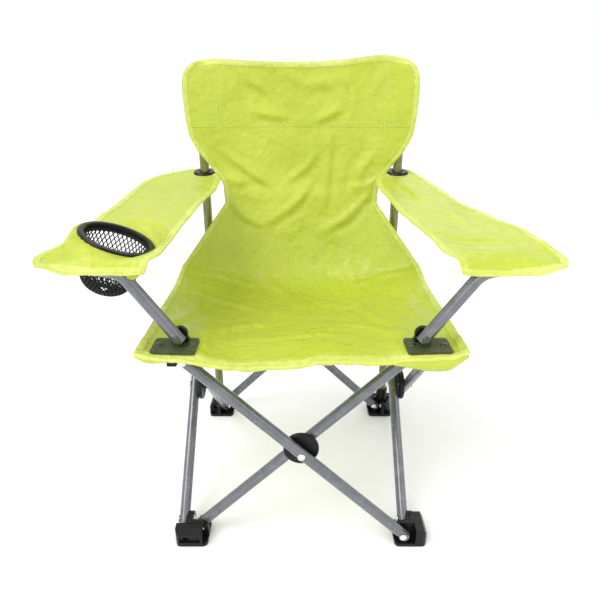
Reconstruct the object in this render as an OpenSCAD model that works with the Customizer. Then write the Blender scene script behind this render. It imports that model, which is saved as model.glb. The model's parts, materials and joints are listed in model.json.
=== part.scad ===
// Folding camp chair in a child's size.
// Four scissor pairs of tube stand between four corners. The front corners carry the seat
// and the arm posts, and the rear corners slide on two back posts.
// Millimetres, +Z up, the front faces -Y, and the origin is on the floor between the feet.

/* [Frame] */
// Outside diameter of every tube
tube_d = 13; // [11:0.5:14]
// Wall of every tube
tube_wall = 1; // [0.6:0.1:1.5]
// Length of a leg between its two end pivots
leg_length = 347.2; // [290:0.1:420]
// Angle of a leg from vertical with the chair open
leg_angle = 45.6; // [40:0.1:50]
// Length of tube past an end pivot
tube_end = 7; // [6:0.5:8]
// Distance from a corner of the frame to the pivots beside it
corner_inset = 14; // [14:0.5:20]
// Height of the foot pivots above the floor
foot_pivot_z = 15; // [15:0.5:22]
// Height of the back posts' top ends above the floor
post_top = 541; // [500:1:541]

/* [Arm posts] */
// Lean of an arm post outward from vertical
arm_lean = 35; // [35:1:40]
// Lean of its bent top end from vertical
arm_top_lean = 80; // [70:1:85]
// Straight length from the pivot to the bend
arm_straight = 76; // [50:1:76]
// Radius of the bend
arm_bend_r = 25; // [20:1:40]
// Length of the bent end
arm_top_length = 25; // [15:1:35]

/* [Plastic parts] */
// Thickness of the round disc between two crossing legs
disc_t = 5.4; // [4:0.1:8]
// Diameter of that disc
disc_d = 41; // [30:1:42]
// Thickness of the upright walls that the legs are riveted to
wall_t = 5.4; // [4:0.1:8]
// Radius of a wall's round boss about its pivot
boss_r = 9.5; // [8:0.5:9.5]
// Thickness of a foot's pad
pad_t = 4.6; // [3:0.1:5]
// Reach of a foot's pad past the corner, outward
pad_out = 16; // [14:0.5:17]
// Reach of a foot's pad past the corner, inward
pad_in = 23; // [20:0.5:26]
// Thickness of the clamp plates on the seat
plate_t = 3; // [2:0.5:4]
// Width of a clamp plate
plate_w = 46; // [36:1:50]
// Depth of a clamp plate
plate_d = 32; // [26:1:34]

/* [Rivets] */
// Diameter of a rivet's shank
rivet_d = 5; // [4:0.5:6]
// Diameter of a rivet's head
rivet_head_d = 9; // [7:0.5:10]
// Height of a rivet's head
rivet_head_h = 2; // [1:0.1:2.5]

/* [Cloth] */
// Thickness of the cloth's solids
cloth_t = 1.4; // [1:0.1:2]
// Half width of the seat
seat_half = 170; // [160:1:180]
// Sag of the front hem's middle below its ends
hem_sag = 9; // [5:1:15]
// Height of the seat's middle line at its lowest row
seat_low_z = 245; // [230:1:255]
// Half width of the sheet at its waist
waist_half = 110; // [95:1:120]
// Height of the waist
waist_z = 362; // [340:1:380]
// Half width of the back at its top
back_half = 157; // [155:1:165]
// Height of the back's top edge
back_top = 552; // [545:1:630]
// Height of the lower edge of the sleeves on the back posts
sleeve_low_z = 440; // [430:1:460]
// Half width between the two sleeves
sleeve_seam_x = 113; // [105:1:118]

/* [Armrests] */
// Height of the armrests where the back posts pass through
armrest_z = 402; // [395:1:420]
// Slope of the armrests down to the front, in degrees
armrest_slope = 6.75; // [5:0.25:6.75]
// Outside diameter of the cup ring
cup_ring_d = 80; // [74:1:84]
// Inside diameter of the cup ring
cup_bore_d = 66; // [58:1:68]
// Depth of the cup basket below the ring
cup_depth = 60; // [45:1:70]
// Lean of the cup ring inward, in degrees
cup_lean = 22; // [0:1:24]

/* [Hidden] */
$fn = 48;
run_gap = 0.3;          // between pieces of different bodies
bore_gap = 0.05;        // radial, round every rivet and post
half_leg = leg_length / 2;
pivot_x = half_leg * sin(leg_angle);
rise = half_leg * cos(leg_angle);
corner = pivot_x + corner_inset;
cross_z = foot_pivot_z + rise;
top_z = foot_pivot_z + 2 * rise;
tube_r = tube_d / 2;
tube_off = tube_r + disc_t / 2 + run_gap;   // from a scissor's plane to a tube's axis
tube_face = tube_off + tube_r;              // to a tube's far side
end_reach = norm([tube_end, tube_r]);       // farthest corner of a tube's end from its pivot
arm_end = tube_end - 2;                     // an arm post's length past its pivot
lap = 0.5;                                  // overlap of an arm post's straight parts with its bend
wall_tip = corner_inset + boss_r;
foot_wall_top = foot_pivot_z + boss_r;
socket_top = foot_wall_top + 18;
socket_r = tube_r + 2.5;
post_low_z = foot_wall_top + 1.5;
hub_under = top_z + end_reach + 0.4;        // underside of the seat hubs' platforms
hub_top = hub_under + 3;
cloth_z = hub_top + 0.15;                   // the clamped cloth lies on the platform
plate_z = cloth_z + cloth_t + 0.15;
plate_top = plate_z + plate_t;
arm_off_y = corner + tube_off;              // plane of the arm posts
arm_pivot_x = corner - 11;
arm_pivot_z = plate_top + norm([arm_end, tube_r]) + 0.4;
plate_x = corner - 7;
plate_y = corner + 9;
hem_front = corner + 30;
hem_back = corner - 8.5;
hem_z = cloth_z + cloth_t / 2;
cloth_back_y = corner - tube_r - 2.5;       // the back hangs in front of the posts
fold_y = 30;                                // row where the seat folds in two
crease = [seat_half - 2, corner - 63, cloth_z + 13];   // where the seat's side edge turns up
crease_t = 0.34;                            // how far along the rear cloth that is
dish = 2.2;                                 // how sharply the sheet rises at its sides
plate_rivet_x = 17;                         // half spacing of a clamp plate's two rivets
plate_rivet_y = 0.5;
armrest_fold_y = 24;                        // row where the armrests fold in two
cup_x = -193;
cup_y = -98;
cup_z = armrest_z + (cup_y - corner) * tan(armrest_slope);
cup_clear = 2.5;
barrel_wall = 2.5;                          // wall of the ring's barrel, below its flange
barrel_low = -6;
lug_r = norm([arm_end, tube_r]) + 0.3;      // radius of an arm lug about its pivot
foot_block_l = pad_in + pad_out - 6;
foot_block_z = foot_wall_top - 0.5;
foot_round = 6;                             // corner radius of a foot in plan
post_foot_bore = 60;
post_hole_r = tube_r + 3;

// ---------- Helpers ----------

// A corner's own frame: +X and +Y run along the frame's sides towards the other corners.
// side_x is -1 for left and 1 for right, side_y is -1 for front and 1 for rear.
module at_corner(side_x, side_y) {
  translate([side_x * corner, side_y * corner, 0])
    mirror([side_x > 0 ? 1 : 0, 0, 0]) mirror([0, side_y > 0 ? 1 : 0, 0]) children();
}

// Swaps a corner's two directions, so one wall module serves both.
module swapped() {
  mirror([1, -1, 0]) children();
}

// Rivet along -Y: its outer head sits at y = -outer, its inner head at y = inner.
module rivet(outer, inner) {
  rotate([90, 0, 0]) rotate_extrude() polygon(concat(
    [[0, -inner - rivet_head_h * 0.6], [rivet_head_d * 0.35, -inner - rivet_head_h * 0.6],
     [rivet_head_d * 0.42, -inner], [rivet_d / 2, -inner], [rivet_d / 2, outer]],
    [for (k = [0:6]) [rivet_head_d / 2 * cos(k * 15), outer + rivet_head_h * sin(k * 15)]]));
}

module rivet_hole(from, to) {
  rotate([90, 0, 0]) translate([0, 0, from])
    cylinder(r = rivet_d / 2 + bore_gap, h = to - from);
}

// Leg tube about its middle, leaning in the XZ plane towards +X at the top.
module leg(angle) {
  rotate([0, angle, 0]) difference() {
    cylinder(r = tube_r, h = leg_length + 2 * tube_end, center = true);
    cylinder(r = tube_r - tube_wall, h = leg_length + 3 * tube_end, center = true);
    for (z = [-half_leg, 0, half_leg]) translate([0, 0, z]) rivet_hole(-tube_d, tube_d);
  }
}

// A leg of the front or rear scissors. away is 1 on the scissors' outer side, -1 on its inner.
module leg_x(side_y, away, angle) {
  color("silver") translate([0, side_y * (corner + away * tube_off), cross_z]) leg(angle);
}

// A leg of the left or right scissors, leaning towards +Y at the top for a positive angle.
module leg_y(side_x, away, angle) {
  color("silver") translate([side_x * (corner + away * tube_off), 0, cross_z])
    rotate([0, 0, 90]) leg(angle);
}

// Crossing disc with its face in the scissors' plane.
module cross_disc() {
  color("#1c1c1e") rotate([90, 0, 0]) rotate_extrude() polygon([
    [rivet_d / 2 + bore_gap, -disc_t / 2], [disc_d / 2 - 1, -disc_t / 2],
    [disc_d / 2, -disc_t / 2 + 1], [disc_d / 2, disc_t / 2 - 1],
    [disc_d / 2 - 1, disc_t / 2], [rivet_d / 2 + bore_gap, disc_t / 2]]);
}

module cross_rivet() {
  color("#d8d8dc") rivet(tube_face + run_gap, tube_face + run_gap);
}

module side_disc(side_x) {
  translate([side_x * corner, 0, cross_z]) rotate([0, 0, 90]) cross_disc();
}

module side_rivet(side_x) {
  translate([side_x * corner, 0, cross_z]) rotate([0, 0, side_x * 90]) cross_rivet();
}

// Upright wall along a corner's +X direction, in the plane y = 0, with a boss on its pivot.
// rim is the z of its straight edge, away from the round one.
module pivot_wall(pivot_z, rim) {
  difference() {
    union() {
      translate([corner_inset, wall_t / 2, pivot_z]) rotate([90, 0, 0]) cylinder(r = boss_r, h = wall_t);
      translate([-wall_t / 2, -wall_t / 2, min(rim, pivot_z)])
        cube([wall_tip + wall_t / 2, wall_t, abs(rim - pivot_z)]);
      translate([-wall_t / 2, -wall_t / 2, pivot_z - boss_r])
        cube([corner_inset, wall_t, 2 * boss_r]);
    }
    translate([corner_inset, 0, pivot_z]) rivet_hole(-wall_t, wall_t);
  }
}

// Rivet through a wall and the leg beside it. away is 1 for a leg on the outer side.
module wall_rivet(away, pivot_z) {
  translate([corner_inset, 0, pivot_z]) mirror([0, away > 0 ? 0 : 1, 0])
    rivet(tube_face + run_gap, wall_t / 2);
}

// ---------- Feet ----------

// Block outside a wall whose leg is on the inner side, with a recess in its face.
module foot_block() {
  difference() {
    intersection() {
      translate([-pad_out, 0, 0]) rotate([90, 0, 90]) linear_extrude(foot_block_l)
        polygon([[-pad_out, 0], [-wall_t / 2 + 1, 0], [-wall_t / 2 + 1, foot_block_z],
                 [-pad_out + 4, foot_block_z], [-pad_out, foot_block_z - 7]]);
      foot_plan(foot_block_z);
    }
    translate([-pad_out + 5, -pad_out - 1, pad_t + 1]) cube([foot_block_l - 8, 3.5, 9]);
    translate([-pad_out + 9, -pad_out - 1, pad_t + 3]) cube([6, 6.5, 5]);
    translate([corner_inset, 0, foot_pivot_z]) rotate([90, 0, 0]) cylinder(r = rivet_d, h = pad_out - 6);
  }
}

module foot_plan(h) {
  translate([foot_round - pad_out, foot_round - pad_out, 0]) linear_extrude(h)
    offset(foot_round, $fn = 32) square(pad_in + pad_out - 2 * foot_round);
}

// outer_x says that the leg on the wall along X is outside it. The other wall is the opposite.
module foot(side_x, side_y, outer_x, post) {
  color("#161618") at_corner(side_x, side_y) difference() {
    union() {
      foot_plan(pad_t);
      pivot_wall(foot_pivot_z, pad_t - 1);
      swapped() pivot_wall(foot_pivot_z, pad_t - 1);
      if (outer_x) swapped() foot_block();
      else foot_block();
      if (post) post_socket();
    }
    if (post) translate([0, 0, post_low_z]) cylinder(r = tube_r + bore_gap, h = post_foot_bore);
  }
}

module post_socket() {
  translate([0, 0, foot_wall_top - 1]) cylinder(r = socket_r, h = socket_top - foot_wall_top + 1);
  translate([0, 0, foot_wall_top - 9]) cylinder(r1 = 4, r2 = socket_r, h = 8, $fn = 32);
}

module foot_rivets(side_x, side_y, outer_x) {
  color("#d8d8dc") at_corner(side_x, side_y) {
    wall_rivet(outer_x ? 1 : -1, foot_pivot_z);
    swapped() wall_rivet(outer_x ? -1 : 1, foot_pivot_z);
  }
}

// ---------- Seat hubs ----------

module plate_holes(side_x, from, h) {
  for (x = [-1, 1]) translate([side_x * plate_x + x * plate_rivet_x, plate_rivet_y - plate_y, from])
    cylinder(r = rivet_d / 2 + bore_gap, h = h);
}

module seat_hub(side_x, outer_x) {
  color("#20221c") difference() {
    union() {
      at_corner(side_x, -1) {
        pivot_wall(top_z, hub_under + 1);
        swapped() pivot_wall(top_z, hub_under + 1);
        translate([-5, -5, top_z - boss_r - 1]) cube([10, 10, hub_under - top_z + boss_r + 2]);
      }
      translate([side_x * plate_x - plate_w / 2, -plate_y - plate_d / 2, hub_under])
        cube([plate_w, plate_d, hub_top - hub_under]);
      at_corner(side_x, -1) translate([-5, -5, hub_under]) cube([29, 29, hub_top - hub_under]);
    }
    plate_holes(side_x, hub_under - 30, 60);
    at_corner(side_x, -1) hub_clearance(outer_x);
  }
}

// Room for the legs' ends as they turn, on whichever side of each wall they are.
module hub_clearance(outer_x) {
  translate([corner_inset, outer_x ? -wall_t / 2 - tube_d - 1 : wall_t / 2, top_z]) leg_room();
  swapped() translate([corner_inset, outer_x ? wall_t / 2 : -wall_t / 2 - tube_d - 1, top_z])
    leg_room();
}

module leg_room() {
  rotate([-90, 0, 0]) cylinder(r = end_reach + 0.3, h = tube_d + 1);
}

module seat_hub_rivets(side_x, outer_x) {
  color("#d8d8dc") {
    at_corner(side_x, -1) {
      wall_rivet(outer_x ? 1 : -1, top_z);
      swapped() wall_rivet(outer_x ? -1 : 1, top_z);
    }
    for (x = [-1, 1])
      translate([side_x * plate_x + x * plate_rivet_x, plate_rivet_y - plate_y, 0])
        rotate([-90, 0, 0]) rivet(plate_top, -hub_under);
    translate([side_x * arm_pivot_x, -corner, arm_pivot_z])
      rivet(tube_face + run_gap, wall_t / 2);
  }
}

module seat_plate(side_x) {
  color("#3c4130") difference() {
    translate([side_x * plate_x - plate_w / 2 + 3, -plate_y - plate_d / 2 + 3, plate_z])
      linear_extrude(plate_t) offset(3, $fn = 32) square([plate_w - 6, plate_d - 6]);
    plate_holes(side_x, plate_z - 1, plate_t + 2);
  }
}

// Upright lug on the clamp plate, behind the arm post's lower end.
module arm_lug(side_x) {
  color("#161618") translate([side_x * arm_pivot_x, -corner, 0]) difference() {
    union() {
      translate([0, wall_t / 2, arm_pivot_z]) rotate([90, 0, 0]) cylinder(r = lug_r, h = wall_t);
      translate([-lug_r, -wall_t / 2, plate_top]) cube([2 * lug_r, wall_t, arm_pivot_z - plate_top]);
      translate([-lug_r, -wall_t / 2, plate_top]) cube([2 * lug_r, wall_t + 4, 2.5]);
    }
    translate([0, 0, arm_pivot_z]) rivet_hole(-wall_t, wall_t);
    translate([0, wall_t / 2, arm_pivot_z]) rotate([-90, 0, 0]) cylinder(r = rivet_head_d / 2, h = 9);
  }
}

// ---------- Posts ----------

// Tube wall in section, thinner by ease on each face.
module ring(ease) {
  difference() {
    circle(r = tube_r - ease);
    circle(r = tube_r - tube_wall + ease);
  }
}

// Drawn leaning to +X, and mirrored for the left.
module arm_post(side_x) {
  bend_x = arm_straight * sin(arm_lean) + arm_bend_r * cos(arm_lean);
  bend_z = arm_straight * cos(arm_lean) - arm_bend_r * sin(arm_lean);
  color("silver") translate([side_x * arm_pivot_x, -arm_off_y, arm_pivot_z])
    mirror([side_x < 0 ? 1 : 0, 0, 0]) {
      difference() {
        rotate([0, arm_lean, 0]) translate([0, 0, -arm_end])
          linear_extrude(arm_straight + arm_end + lap) ring(0);
        rivet_hole(-tube_d, tube_d);
      }
      translate([bend_x, 0, bend_z]) rotate([90, 0, 0]) rotate([0, 0, 180 - arm_top_lean])
        rotate_extrude(angle = arm_top_lean - arm_lean) translate([arm_bend_r, 0]) ring(0.02);
      translate([bend_x - arm_bend_r * cos(arm_top_lean), 0, bend_z + arm_bend_r * sin(arm_top_lean)])
        rotate([0, arm_top_lean, 0]) translate([0, 0, -lap]) linear_extrude(arm_top_length + lap) ring(0);
    }
}

module back_post(side_x) {
  color("silver") translate([side_x * corner, corner, post_low_z]) difference() {
    cylinder(r = tube_r, h = post_top - post_low_z);
    translate([0, 0, -1]) cylinder(r = tube_r - tube_wall, h = post_top - post_low_z + 2);
  }
}

module back_post_plug(side_x) {
  color("#161618") translate([side_x * corner, corner, post_top]) {
    rotate_extrude() polygon([[0, -12], [tube_r - tube_wall, -12], [tube_r - tube_wall, 0],
      [tube_r, 0], [tube_r, 1.5], [tube_r - 1.5, 3], [0, 3]]);
  }
}

// Collar that slides on a back post: a ring and plate on top, two walls hanging below.
module back_collar(side_x, outer_x) {
  color("#161618") at_corner(side_x, 1) difference() {
    union() {
      translate([0, 0, hub_under]) cylinder(r = socket_r + 1, h = 18);
      translate([-5, -5, hub_under]) cube([29, 29, 4]);
      pivot_wall(top_z, hub_under + 1);
      swapped() pivot_wall(top_z, hub_under + 1);
    }
    translate([0, 0, top_z - 40]) cylinder(r = tube_r + bore_gap, h = 80);
    translate([0, 0, top_z - 40]) cylinder(r = tube_r + 1, h = 40 + hub_under - top_z);
    hub_clearance(outer_x);
  }
}

module back_collar_rivets(side_x, outer_x) {
  color("#d8d8dc") at_corner(side_x, 1) {
    wall_rivet(outer_x ? 1 : -1, top_z);
    swapped() wall_rivet(outer_x ? -1 : 1, top_z);
  }
}

// ---------- Cloth ----------

// Closed sheet through rows of points. Every row has the same number of points, and
// down[i] is the direction from row i's upper face to its lower face.
module cloth_sheet(rows, down) {
  nr = len(rows);
  nc = len(rows[0]);
  upper = [for (i = [0:nr - 1]) for (p = rows[i]) p - down[i] * cloth_t / 2];
  lower = [for (i = [0:nr - 1]) for (p = rows[i]) p + down[i] * cloth_t / 2];
  n = nr * nc;
  polyhedron(concat(upper, lower), concat(
    [for (i = [0:nr - 2]) for (j = [0:nc - 2]) each [
      [i * nc + j, (i + 1) * nc + j, (i + 1) * nc + j + 1],
      [i * nc + j, (i + 1) * nc + j + 1, i * nc + j + 1],
      [n + i * nc + j, n + (i + 1) * nc + j + 1, n + (i + 1) * nc + j],
      [n + i * nc + j, n + i * nc + j + 1, n + (i + 1) * nc + j + 1]]],
    [for (j = [0:nc - 2]) each [[j, j + 1, n + j + 1], [j, n + j + 1, n + j],
      [(nr - 1) * nc + j + 1, (nr - 1) * nc + j, n + (nr - 1) * nc + j],
      [(nr - 1) * nc + j + 1, n + (nr - 1) * nc + j, n + (nr - 1) * nc + j + 1]]],
    [for (i = [0:nr - 2]) each [
      [(i + 1) * nc, i * nc, n + i * nc],
      [(i + 1) * nc, n + i * nc, n + (i + 1) * nc],
      [i * nc + nc - 1, (i + 1) * nc + nc - 1, n + (i + 1) * nc + nc - 1],
      [i * nc + nc - 1, n + (i + 1) * nc + nc - 1, n + i * nc + nc - 1]]]));
}

across = [for (j = [0:16]) j / 8 - 1];
function bump(t) = t * t * (3 - 2 * t);
// The front hem is level over the two hubs and sags between them.
function hem_drop(x) = hem_sag * (1 - bump(min(1, max(0, abs(x) / (plate_x - plate_w / 2 - 2)))));

module seat_front_hem() {
  xs = [for (k = [-20:20]) k / 20 * seat_half];
  color("#c4dc55") difference() {
    translate([0, -hem_back, 0]) rotate([90, 0, 0]) linear_extrude(hem_front - hem_back)
      polygon(concat([for (x = xs) [x, cloth_z + cloth_t - hem_drop(x)]],
                     [for (k = [40:-1:0]) [xs[k], cloth_z - hem_drop(xs[k])]]));
    for (s = [-1, 1]) plate_holes(s, cloth_z - 3, 8);
  }
}

// The seat from the hem back to the row where it folds.
module seat_front_cloth() {
  y0 = -hem_back + 0.4;
  color("#c4dc55") cloth_sheet([for (k = [0:8])
    let (t = k / 8, fall = bump(max(0, k - 1) / 7))
    [for (a = across) let (x = seat_half * a)
      [x, y0 + (fold_y - 0.2 - y0) * t, (hem_z - hem_drop(x)) * (1 - fall) + fall * fold_row_z(a)]]],
    [for (k = [0:8]) [0, 0, -1]]);
}

function fold_row_z(a) = seat_low_z + (hem_z + 1 - seat_low_z) * pow(abs(a), dish);

// The seat's rear part and its turn up to the waist.
module seat_rear_cloth() {
  n = 12;
  color("#c4dc55") cloth_sheet([for (k = [0:n])
    let (t = k / n, middle = rear_middle(t), edge = rear_edge(t))
    [for (a = across) let (p = middle + (edge - middle) * pow(abs(a), dish)) [a * edge[0], p[1], p[2]]]],
    [for (k = [0:n]) let (f = 90 * bump(k / n)) [0, sin(f), -cos(f)]]);
}

// Path of the sheet's middle from the fold row to the waist: a smooth Bezier curve.
function rear_middle(t) =
  let (p0 = [0, fold_y + 0.2, seat_low_z], p1 = [0, corner - 33, seat_low_z - 4],
       p2 = [0, cloth_back_y - 6, cloth_z + 4], p3 = [0, cloth_back_y, waist_z - 0.2])
  p0 * pow(1 - t, 3) + p1 * 3 * t * pow(1 - t, 2) + p2 * 3 * t * t * (1 - t) + p3 * pow(t, 3);

// Path of its side edge: level to the crease, then straight up to the waist.
function rear_edge(t) =
  let (p0 = [seat_half, fold_y + 0.2, fold_row_z(1)], p2 = [waist_half, cloth_back_y, waist_z - 0.2])
  t < crease_t ? p0 + (crease - p0) * t / crease_t
               : crease + (p2 - crease) * (t - crease_t) / (1 - crease_t);

// Half outline of the back above the waist, and the part between the sleeves.
module back_outline() {
  polygon(concat(
    [[-waist_half, waist_z + 0.2], [waist_half, waist_z + 0.2]],
    [[waist_half + 3, waist_z + 30], [waist_half + 14, waist_z + 52], [back_half - 13, sleeve_low_z - 4],
     [back_half - 13, sleeve_low_z - 0.4]],
    [[sleeve_seam_x - 0.4, sleeve_low_z - 0.4], [sleeve_seam_x - 0.4, back_top - 4],
     [60, back_top], [-60, back_top],
     [-sleeve_seam_x + 0.4, back_top - 4], [-sleeve_seam_x + 0.4, sleeve_low_z - 0.4]],
    [[-back_half + 13, sleeve_low_z - 0.4], [-back_half + 13, sleeve_low_z - 4],
     [-waist_half - 14, waist_z + 52], [-waist_half - 3, waist_z + 30]]));
}

module back_cloth() {
  color("#c4dc55") translate([0, cloth_back_y + cloth_t / 2, 0]) rotate([90, 0, 0])
    linear_extrude(cloth_t) back_outline();
}

// Sleeve round a back post: a flat loop of cloth, closed over the post's top.
module back_sleeve(side_x) {
  w = back_half - sleeve_seam_x;
  front = corner - cloth_back_y + cloth_t / 2;
  back = tube_r + 2;
  x0 = side_x > 0 ? sleeve_seam_x : -back_half;
  color("#c4dc55") translate([x0, corner, 0]) difference() {
    translate([0, 0, sleeve_low_z]) linear_extrude(back_top - 4 - sleeve_low_z)
      translate([2, -front + 2]) offset(2, $fn = 32) square([w - 4, front + back - 4]);
    translate([0, 0, sleeve_low_z - 1]) linear_extrude(back_top - 4 - sleeve_low_z)
      translate([cloth_t, -front + cloth_t]) square([w - 2 * cloth_t, front + back - 2 * cloth_t]);
  }
}

// ---------- Armrests ----------

// Half outlines seen from above, from the rear end round the outer side.
left_outer = [[-119.5, 160], [-167, 160], [-202, 118], [-216, 84], [-234, -48], [-248, -72], [-267, -138],
  [-257, -152], [-220, -158.5], [-174, -159], [-151, -159]];
left_inner = [[-140, -138], [-124, 15], [-113.5, 72], [-113, 118], [-119.5, 127]];
right_outer = [[119.5, 160], [156, 158], [167, 132], [181, 74], [198, 15], [218, -29], [239, -71],
  [255, -130], [264, -145], [252, -156], [215, -160], [178, -161], [155, -160]];
right_inner = [[142, -133], [136, -91], [117, -16], [111, 30], [104, 80], [107, 118], [119.5, 127]];

// Puts a flat outline on the armrests' slope.
module on_slope() {
  translate([0, corner, armrest_z]) rotate([armrest_slope, 0, 0]) translate([0, -corner, 0]) children();
}

module armrest(outline, side_x, front, cup) {
  y_fold = armrest_fold_y;
  color("#c4dc55") on_slope() difference() {
    linear_extrude(cloth_t) intersection() {
      polygon(outline);
      translate([-320, front ? -320 : y_fold + 0.3]) square([640, 320 + y_fold - 0.3]);
    }
    if (!front) translate([side_x * corner, corner, -5]) cylinder(r = post_hole_r + 1, h = 20);
    if (cup) translate([cup_x, cup_y, -15]) cylinder(r = cup_ring_d / 2 + cup_clear, h = 40);
  }
}

module armrest_left(front) {
  armrest(concat(left_outer, left_inner), -1, front, front);
}

module armrest_right(front) {
  armrest(concat(right_outer, right_inner), 1, front, false);
}

// Ring pressed on the armrest's cloth round the post.
module armrest_grommet(side_x) {
  color("#20221c") translate([side_x * corner, corner, armrest_z - 1.2])
    rotate([armrest_slope, 0, 0]) translate([0, 0, cloth_t + 1.5]) rotate_extrude()
      polygon([[tube_r + 0.8, 0], [16, 0], [16, 1], [14, 3], [tube_r + 2, 3], [tube_r + 0.8, 2]]);
}

// Frame of the cup ring: its centre on the armrest's slope, leaning inward.
module at_cup() {
  translate([cup_x, cup_y, cup_z]) rotate([0, cup_lean, 0]) children();
}

module cup_ring() {
  r = cup_bore_d / 2;
  color("#161618") at_cup() rotate_extrude() polygon([
    [r, barrel_low], [r + barrel_wall, barrel_low], [r + barrel_wall, 0], [cup_ring_d / 2, -1],
    [cup_ring_d / 2, 1], [cup_ring_d / 2 - 1.5, 2.6], [r + 1.5, 3], [r, 1.5]]);
}

// Mesh bag that hangs from the ring's barrel.
module cup_basket() {
  r = cup_bore_d / 2;
  color("#101010") at_cup() rotate_extrude() polygon([
    [r - 1.6, -3], [r - 0.2, -3], [r - 2, -cup_depth * 0.6], [r - 7, -cup_depth + 4], [r - 13, -cup_depth],
    [0, -cup_depth], [0, -cup_depth + 1.6], [r - 14, -cup_depth + 1.6], [r - 8.4, -cup_depth + 5],
    [r - 3.6, -cup_depth * 0.6]]);
}

// ---------- The nodes ----------

foot(-1, -1, false, false);  // foot_front_left
foot(1, -1, true, false);  // foot_front_right
foot(-1, 1, true, true);  // foot_rear_left
foot(1, 1, false, true);  // foot_rear_right
foot_rivets(-1, -1, false);  // foot_rivets_front_left
foot_rivets(1, -1, true);  // foot_rivets_front_right
foot_rivets(-1, 1, true);  // foot_rivets_rear_left
foot_rivets(1, 1, false);  // foot_rivets_rear_right
leg_x(-1, 1, -leg_angle);  // front_leg_a
leg_x(-1, -1, leg_angle);  // front_leg_b
leg_y(-1, 1, leg_angle);  // left_leg_a
leg_y(-1, -1, -leg_angle);  // left_leg_b
leg_y(1, -1, leg_angle);  // right_leg_a
leg_y(1, 1, -leg_angle);  // right_leg_b
leg_x(1, 1, leg_angle);  // rear_leg_a
leg_x(1, -1, -leg_angle);  // rear_leg_b
translate([0, -corner, cross_z]) cross_disc();  // front_cross_disc
side_disc(-1);  // left_cross_disc
side_disc(1);  // right_cross_disc
translate([0, corner, cross_z]) cross_disc();  // rear_cross_disc
translate([0, -corner, cross_z]) cross_rivet();  // front_cross_rivet
side_rivet(-1);  // left_cross_rivet
side_rivet(1);  // right_cross_rivet
translate([0, corner, cross_z]) cross_rivet();  // rear_cross_rivet
seat_hub(-1, true);  // seat_hub_left
seat_hub(1, false);  // seat_hub_right
seat_hub_rivets(-1, true);  // seat_hub_rivets_left
seat_hub_rivets(1, false);  // seat_hub_rivets_right
seat_plate(-1);  // seat_plate_left
seat_plate(1);  // seat_plate_right
arm_lug(-1);  // arm_lug_left
arm_lug(1);  // arm_lug_right
arm_post(-1);  // arm_post_left
arm_post(1);  // arm_post_right
back_collar(-1, false);  // back_collar_left
back_collar(1, true);  // back_collar_right
back_collar_rivets(-1, false);  // back_collar_rivets_left
back_collar_rivets(1, true);  // back_collar_rivets_right
back_post(-1);  // back_post_left
back_post(1);  // back_post_right
back_post_plug(-1);  // back_post_plug_left
back_post_plug(1);  // back_post_plug_right
seat_front_hem();
seat_front_cloth();
seat_rear_cloth();
back_cloth();
back_sleeve(-1);  // back_sleeve_left
back_sleeve(1);  // back_sleeve_right
armrest_left(true);  // armrest_left_front
armrest_left(false);  // armrest_left_rear
armrest_right(true);  // armrest_right_front
armrest_right(false);  // armrest_right_rear
armrest_grommet(-1);  // armrest_grommet_left
armrest_grommet(1);  // armrest_grommet_right
cup_ring();
cup_basket();
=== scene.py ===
"""Folding camp chair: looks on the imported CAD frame. Lengths are in millimetres until mesh() scales them."""

import json
import math

import bmesh
import bpy
import numpy as np
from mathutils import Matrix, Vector, noise


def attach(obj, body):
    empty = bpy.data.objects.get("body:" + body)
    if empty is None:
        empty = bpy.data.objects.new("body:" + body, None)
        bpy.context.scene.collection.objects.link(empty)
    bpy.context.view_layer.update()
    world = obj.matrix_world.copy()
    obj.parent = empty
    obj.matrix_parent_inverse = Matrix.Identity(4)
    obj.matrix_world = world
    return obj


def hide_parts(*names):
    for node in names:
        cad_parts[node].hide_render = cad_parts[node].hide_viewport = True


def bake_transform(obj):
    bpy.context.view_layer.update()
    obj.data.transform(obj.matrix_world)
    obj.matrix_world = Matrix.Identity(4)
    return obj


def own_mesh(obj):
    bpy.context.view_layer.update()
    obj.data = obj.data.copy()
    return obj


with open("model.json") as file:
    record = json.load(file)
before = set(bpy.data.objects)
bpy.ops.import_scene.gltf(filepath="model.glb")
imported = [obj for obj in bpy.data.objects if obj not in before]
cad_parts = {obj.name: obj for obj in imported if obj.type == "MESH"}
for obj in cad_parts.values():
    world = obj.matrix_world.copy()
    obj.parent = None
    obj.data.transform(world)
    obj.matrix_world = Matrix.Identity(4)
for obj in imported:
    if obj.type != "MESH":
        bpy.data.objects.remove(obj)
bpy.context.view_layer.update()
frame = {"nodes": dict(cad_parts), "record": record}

MM = 0.001

# ---------- Sizes shared with part.scad ----------
CORNER = 138.03
PLATE_X = CORNER - 7
CLOTH_Z = 271.73
FOLD_Y = 30.0
BACK_Y = 129.03
WAIST_Z = 362.0
WAIST_W = 110.0
SEAT_W = 170.0
LOW_Z = 245.0
DISH = 2.2
HEM_BACK = 129.5
ARM_Z = 402.0
ARM_SLOPE = math.radians(6.75)
CUP = (-193.0, -98.0)
CUP_LEAN = math.radians(22)
CUP_R = 40.0
ARM_FOLD_Y = 24.0
POST_TOP = 541.0
SLEEVE_X = 122.0


# ---------- Small helpers ----------
def bump(t):
    t = min(1.0, max(0.0, t))
    return t * t * (3 - 2 * t)


def lerp(a, b, t):
    return a + (b - a) * t


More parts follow.
